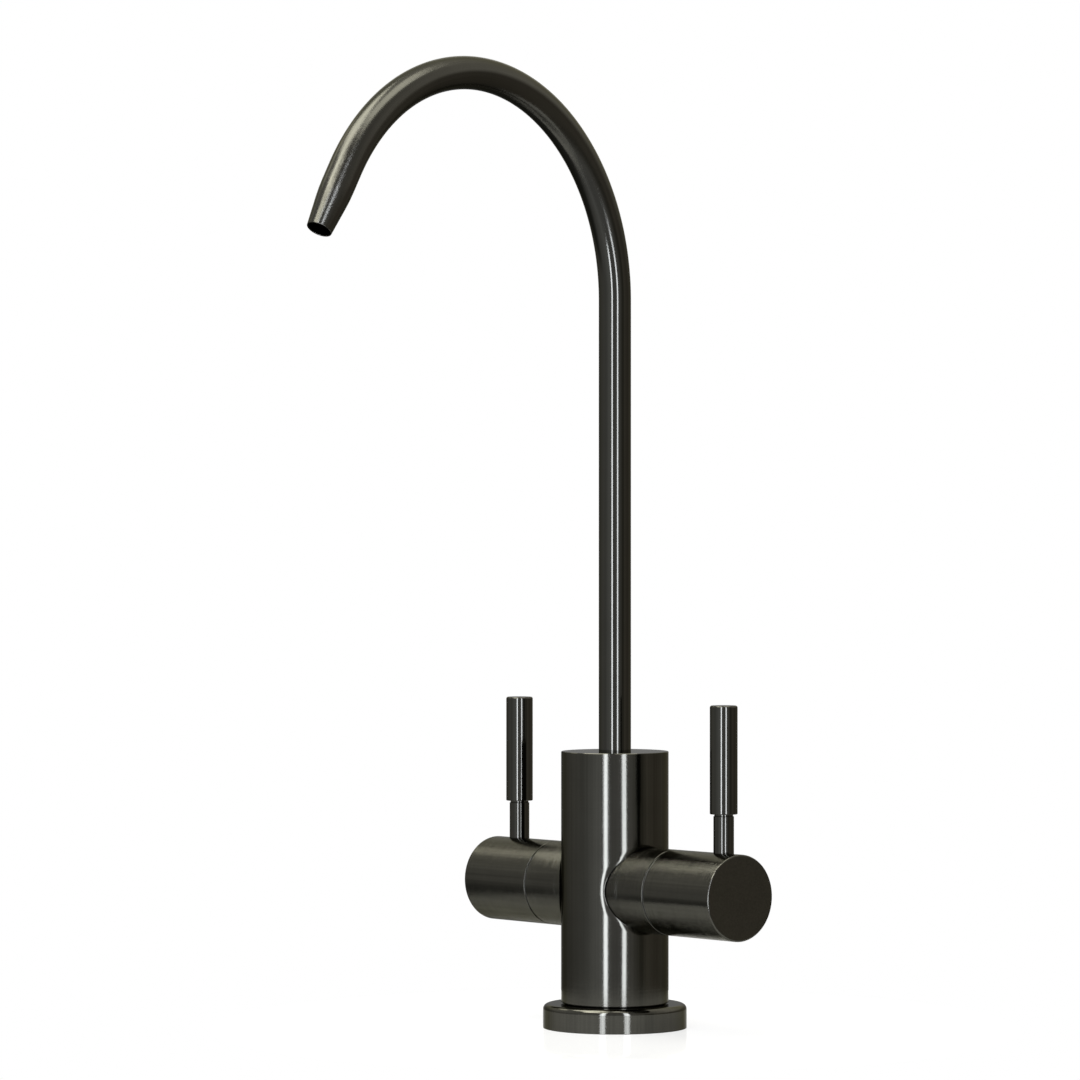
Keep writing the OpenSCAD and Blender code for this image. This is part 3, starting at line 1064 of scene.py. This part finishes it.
@dataclass(frozen=True)
class Spout:
    """Swan-neck spout: riser, arch and tapered nozzle, with the seat that it turns in."""

    radius: float = 4.8 * MM
    wall: float = 1.0 * MM
    riser_top: float = RISER_TOP
    arch_radius: float = 63.4 * MM
    arch_angle: float = math.radians(148.6)
    tip_length: float = 20.4 * MM
    taper_length: float = 11.9 * MM
    taper_blend: float = 60 * MM
    tip_radius: float = 3.675 * MM
    tip_wall: float = 0.4 * MM
    rim_edge: float = 0.15 * MM
    swing: float = math.radians(9.3)
    arch_steps: int = 120
    sides: int = 96

    def place(self, run: float) -> Matrix:
        """Frame of the tube's centre line.

        Args:
            run: Length along the centre line, equal to the height on the riser.

        Returns:
            The frame, with its Z along the tube.
        """
        angle = min(max(0.0, (run - self.riser_top) / self.arch_radius), self.arch_angle)
        past = run - self.riser_top - angle * self.arch_radius
        centre = Matrix.Translation((0.0, -self.arch_radius, self.riser_top))
        bend = Matrix.Rotation(angle, 4, "X")
        arm = Matrix.Translation((0.0, self.arch_radius, past))
        return Matrix.Rotation(self.swing, 4, "Z") @ centre @ bend @ arm

    def build(self, shop: Shop) -> None:
        """Sweeps the tube and dresses its seat.

        Args:
            shop: Takes the finished pieces.
        """
        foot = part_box("spout_tube")[0].z
        arch_end = self.riser_top + self.arch_radius * self.arch_angle
        tip = arch_end + self.tip_length
        taper = tip - self.taper_length
        bore = self.radius - self.wall
        step = (arch_end - self.riser_top) / self.arch_steps
        stations = [self.riser_top + i * step for i in range(self.arch_steps + 1)]
        corners = [Corner(bore, foot), Corner(self.radius, foot)]
        corners += [Corner(self.radius, station) for station in stations]
        corners += [
            Corner(self.radius, taper, self.taper_blend),
            Corner(self.tip_radius, tip, self.rim_edge),
            Corner(self.tip_radius - self.tip_wall, tip, self.rim_edge),
            Corner(bore, taper),
        ]
        corners += [Corner(bore, station) for station in reversed(stations)]
        mesh = turned("spout", corners, self.place, self.sides)
        self._mark_run(mesh, Outline(corners))
        shop.stand_in("spout_tube", mesh, Lay.RUN, BEND_FINISH)
        for node in ("spout_tail", "spout_orings", "spout_snap_ring", "spout_glide_washer"):
            shop.dress(node, Lay.UPRIGHT)

    def _mark_run(self, mesh: bpy.types.Mesh, outline: Outline) -> None:
        """Notes each point's place on the straightened tube, for the lines that follow its run.

        Args:
            mesh: The tube's mesh.
            outline: The outline that it was made from.
        """
        rings = outline.rings(along(Matrix.Identity(4)), self.sides)
        runs = mesh.attributes.new(STRAIGHT, "FLOAT_VECTOR", "POINT")
        runs.data.foreach_set("vector", [part for ring in rings for point in ring for part in point.at])


@dataclass(frozen=True)
class PhotoCamera:
    """Camera at the photograph's viewing angle."""

    azimuth: float = math.radians(49.254)
    distance: float = 1.5034
    height: float = 0.1526
    yaw: float = math.radians(-0.849)
    pitch: float = math.radians(-0.288)
    lens: float = 168.43
    sensor: float = 36.0
    nearest: float = 0.05

    def build(self) -> None:
        """Makes the camera and hands it to the scene."""
        data = bpy.data.cameras.new("photo_camera")
        data.lens = self.lens
        data.sensor_width = self.sensor
        data.clip_start = self.nearest
        camera = bpy.data.objects.new("photo_camera", data)
        bpy.context.scene.collection.objects.link(camera)
        stand = Matrix.Rotation(self.azimuth, 4, "Z") @ Matrix.Translation((0.0, -self.distance, self.height))
        level = Matrix.Rotation(math.pi / 2 + self.pitch, 4, "X")
        camera.matrix_world = stand @ Matrix.Rotation(-self.yaw, 4, "Z") @ level
        bpy.context.scene.camera = camera


@dataclass(frozen=True)
class Lamp:
    """A soft lamp, aimed at a height on the tap's axis; its bearing in degrees counts from the camera's."""

    name: str
    azimuth: float
    elevation: float
    distance: float
    width: float
    height: float
    radiance: float
    colour: Colour
    aim: float = 0.1

    def build(self, camera: PhotoCamera) -> None:
        """Hangs the lamp.

        Args:
            camera: The camera whose direction is the lamp's zero azimuth.
        """
        data = bpy.data.lights.new(self.name, "AREA")
        data.shape = "RECTANGLE"
        data.size = self.width
        data.size_y = self.height
        data.energy = self.radiance * math.pi * self.width * self.height
        data.color = self.colour
        lamp = bpy.data.objects.new(self.name, data)
        bpy.context.scene.collection.objects.link(lamp)
        turn = Matrix.Rotation(camera.azimuth + math.radians(self.azimuth), 4, "Z")
        tilt = Matrix.Rotation(math.pi / 2 - math.radians(self.elevation), 4, "X")
        lift = Matrix.Translation((0.0, 0.0, self.aim))
        lamp.matrix_world = lift @ turn @ tilt @ Matrix.Translation((0.0, 0.0, self.distance))
        lamp.visible_camera = False


LAMPS: tuple[Lamp, ...] = (
    Lamp(
        "left_strip", azimuth=-19.5, elevation=0.0, distance=1.7,
        width=0.24, height=2.2, radiance=14.0, colour=(0.88, 0.92, 1.04), aim=0.6,
    ),
    Lamp(
        "right_strip", azimuth=19.5, elevation=0.0, distance=1.7,
        width=0.24, height=2.2, radiance=12.5, colour=(0.88, 0.92, 1.04), aim=0.6,
    ),
    Lamp(
        "overhead_box", azimuth=-85.0, elevation=68.0, distance=1.6,
        width=1.1, height=0.8, radiance=7.0, colour=(1.0, 0.98, 0.87),
    ),
    Lamp(
        "front_box", azimuth=-42.0, elevation=50.0, distance=1.7,
        width=1.0, height=0.4, radiance=7.5, colour=(1.0, 0.98, 0.87),
    ),
    Lamp(
        "top_box", azimuth=60.0, elevation=74.0, distance=1.7,
        width=1.1, height=0.8, radiance=4.0, colour=(1.0, 0.98, 0.87),
    ),
    Lamp(
        "left_bounce", azimuth=-127.0, elevation=40.0, distance=1.7,
        width=0.7, height=0.3, radiance=2.2, colour=(1.0, 0.98, 0.85),
    ),
)

# Tones of the cards below the skyline, at eye level and overhead, by bearing in degrees from the camera
LOWER_TONES: Tones = (
    (-180.0, (0.12, 0.12, 0.12)),
    (-100.0, (0.12, 0.12, 0.11)),
    (-80.0, (0.42, 0.42, 0.41)),
    (-36.0, (0.80, 0.81, 0.82)),
    (-14.0, (0.48, 0.48, 0.48)),
    (14.0, (0.54, 0.54, 0.54)),
    (34.0, (0.52, 0.51, 0.49)),
    (50.0, (0.28, 0.27, 0.24)),
    (57.0, (0.18, 0.17, 0.14)),
    (63.0, (0.18, 0.17, 0.14)),
    (70.0, (0.36, 0.33, 0.28)),
    (100.0, (0.25, 0.22, 0.18)),
    (150.0, (0.18, 0.17, 0.15)),
    (180.0, (0.12, 0.12, 0.12)),
)
LEVEL_TONES: Tones = (
    (-180.0, (0.28, 0.28, 0.28)),
    (-150.0, (0.40, 0.40, 0.39)),
    (-115.0, (0.48, 0.47, 0.45)),
    (-95.0, (0.50, 0.49, 0.47)),
    (-70.0, (0.45, 0.45, 0.44)),
    (-36.0, (0.80, 0.81, 0.82)),
    (-14.0, (0.48, 0.48, 0.48)),
    (14.0, (0.54, 0.54, 0.54)),
    (34.0, (0.52, 0.51, 0.49)),
    (50.0, (0.28, 0.27, 0.24)),
    (57.0, (0.18, 0.17, 0.14)),
    (63.0, (0.18, 0.17, 0.14)),
    (70.0, (0.36, 0.33, 0.28)),
    (100.0, (0.26, 0.23, 0.19)),
    (122.0, (0.42, 0.39, 0.34)),
    (145.0, (0.60, 0.56, 0.50)),
    (160.0, (0.40, 0.38, 0.35)),
    (180.0, (0.28, 0.28, 0.28)),
)
UPPER_TONES: Tones = (
    (-180.0, (1.4, 1.37, 1.28)),
    (-140.0, (1.1, 1.08, 1.0)),
    (-100.0, (0.75, 0.74, 0.7)),
    (-40.0, (0.5, 0.49, 0.47)),
    (60.0, (0.45, 0.43, 0.39)),
    (110.0, (1.1, 1.05, 0.95)),
    (150.0, (1.5, 1.44, 1.32)),
    (180.0, (1.4, 1.37, 1.28)),
)


@dataclass(frozen=True)
class Studio:
    """Pale floor, white surroundings, grey cards and soft lamps."""

    floor_radius: float = 0.12
    floor_drop: float = 0.02 * MM
    floor_colour: Colour = (0.4, 0.4, 0.4)
    floor_roughness: float = 0.03
    floor_glow: float = 0.7
    mirrored_glow: float = 0.45
    shadow_reach: float = 0.08
    fill_light: float = 0.1
    tent_radius: float = 2.5
    tent_foot: float = math.radians(-75)
    tent_rows: int = 44
    skyline: tuple[float, float] = (-0.2, 0.0)
    ceiling: tuple[float, float] = (0.12, 0.42)
    sides: int = 96

    def build(self, camera: PhotoCamera) -> None:
        """Builds the studio.

        Args:
            camera: The camera that the lamps and cards are placed by.
        """
        bpy.context.scene.view_settings.view_transform = "Standard"
        self._world()
        self._floor()
        self._tent(camera)
        for lamp in LAMPS:
            lamp.build(camera)

    @staticmethod
    def _seen(graph: Graph) -> Sock:
        """Tells the rays that show the background, in the picture or in metal and glass.

        Args:
            graph: The graph of the background's material.

        Returns:
            1 for those rays and 0 for the others.
        """
        kinds = ("Is Camera Ray", "Is Glossy Ray", "Is Transmission Ray")
        camera, glossy, through = (graph.node("ShaderNodeLightPath", {}, {}, kind) for kind in kinds)
        return camera.math("MAXIMUM", camera.math("MAXIMUM", camera, glossy), through)

    def _world(self) -> None:
        """White surroundings, with an even fill light."""
        world = bpy.data.worlds.new("studio")
        world.use_nodes = True
        bpy.context.scene.world = world
        graph = Graph(world.node_tree)
        fill, white = (
            graph.node("ShaderNodeBackground", {}, {"Color": (*WHITE, 1.0), "Strength": strength})
            for strength in (self.fill_light, 1.0)
        )
        shader = graph.node("ShaderNodeMixShader", {}, {0: self._seen(graph), 1: fill, 2: white})
        graph.node("ShaderNodeOutputWorld", {}, {"Surface": shader})

    def _stage(self, name: str, points: Sequence[Vector], faces: Sequence[Sequence[int]]) -> bpy.types.Object:
        """Adds a stage object.

        Args:
            name: Its name.
            points: Its mesh's points.
            faces: Its mesh's faces.

        Returns:
            The object, with an empty material.
        """
        mesh = bpy.data.meshes.new(name)
        mesh.from_pydata(points, [], faces)
        mesh.shade_smooth()
        material = bpy.data.materials.new(name)
        material.use_nodes = True
        mesh.materials.append(material)
        thing = bpy.data.objects.new(name, mesh)
        bpy.context.scene.collection.objects.link(thing)
        return thing

    def _floor(self) -> None:
        """Round pale satin floor that fades into the white surroundings and keeps the tap's shadow."""
        count = self.sides
        points = [
            Matrix.Rotation(math.tau * k / count, 3, "Z") @ Vector((self.floor_radius, 0.0, -self.floor_drop))
            for k in range(count)
        ]
        floor = self._stage("floor", points, [range(count)])
        graph = Graph(floor.data.materials[0].node_tree)
        where = graph.node("ShaderNodeTexCoord", {}, {}, "Object")
        reach = graph.node("ShaderNodeVectorMath", {"operation": "LENGTH"}, {0: where}, "Value")
        fade = graph.step(reach, self.shadow_reach, self.floor_radius, self.floor_glow)
        camera = graph.node("ShaderNodeLightPath", {}, {}, "Is Camera Ray")
        glow = camera * fade + (1.0 - camera) * self._seen(graph) * self.mirrored_glow
        graph.surface({
            "Base Color": (*self.floor_colour, 1.0),
            "Roughness": self.floor_roughness,
            "Emission Color": graph.mix(glow, BLACK, WHITE),
            "Emission Strength": 1.0,
        })

    def _tent(self, camera: PhotoCamera) -> None:
        """Ring of grey cards round the tap, which only the metal sees.

        Args:
            camera: The camera that the cards' bearings start from.
        """
        points = []
        for row in range(self.tent_rows + 1):
            elevation = self.tent_foot + (math.pi / 2 - self.tent_foot) * row / self.tent_rows
            for k in range(self.sides + 1):
                turn = Matrix.Rotation(math.tau * (k / self.sides - 0.5), 3, "Z")
                lift = Vector((0.0, -math.cos(elevation), math.sin(elevation)))
                points.append(turn @ lift * self.tent_radius)
        width = self.sides + 1
        faces = [
            (row * width + k, row * width + k + 1, (row + 1) * width + k + 1, (row + 1) * width + k)
            for row in range(self.tent_rows)
            for k in range(self.sides)
        ]
        tent = self._stage("grey_cards", points, faces)
        tent.rotation_euler.z = camera.azimuth
        tent.visible_camera = False
        tent.visible_diffuse = False
        tent.visible_shadow = False
        graph = Graph(tent.data.materials[0].node_tree)
        where = graph.node("ShaderNodeTexCoord", {}, {}, "Object")
        x, y, z = (graph.node("ShaderNodeSeparateXYZ", {}, {0: where}, axis) for axis in "XYZ")
        bearing = x.math("ARCTAN2", x, -1.0 * y) / math.tau + 0.5
        lower, level, upper = (
            graph.node("ShaderNodeValToRGB", {"stops": self._stops(tones)}, {0: bearing})
            for tones in (LOWER_TONES, LEVEL_TONES, UPPER_TONES)
        )
        height = z / self.tent_radius
        wall = graph.mix(graph.step(height, *self.skyline), lower, level)
        tone = graph.mix(graph.step(height, *self.ceiling), wall, upper)
        shader = graph.node("ShaderNodeEmission", {}, {"Color": tone})
        graph.node("ShaderNodeOutputMaterial", {}, {"Surface": shader})

    @staticmethod
    def _stops(tones: Tones) -> list[tuple[float, Colour]]:
        """Ramp stops for tones that are given by their bearing in degrees from the camera."""
        return [(bearing / 360 + 0.5, tone) for bearing, tone in tones]


def main() -> None:
    """Builds the tap's sub-assemblies, the studio and the camera."""
    logging.basicConfig(level=logging.INFO, format="%(message)s")
    shop = Shop()
    Column().build(shop)
    BaseFlange().build(shop)
    for side in Side:
        ValveArm(side).build(shop)
        Lever(side).build(shop)
    Spout().build(shop)
    camera = PhotoCamera()
    camera.build()
    Studio().build(camera)


if __name__ == "__main__":
    main()
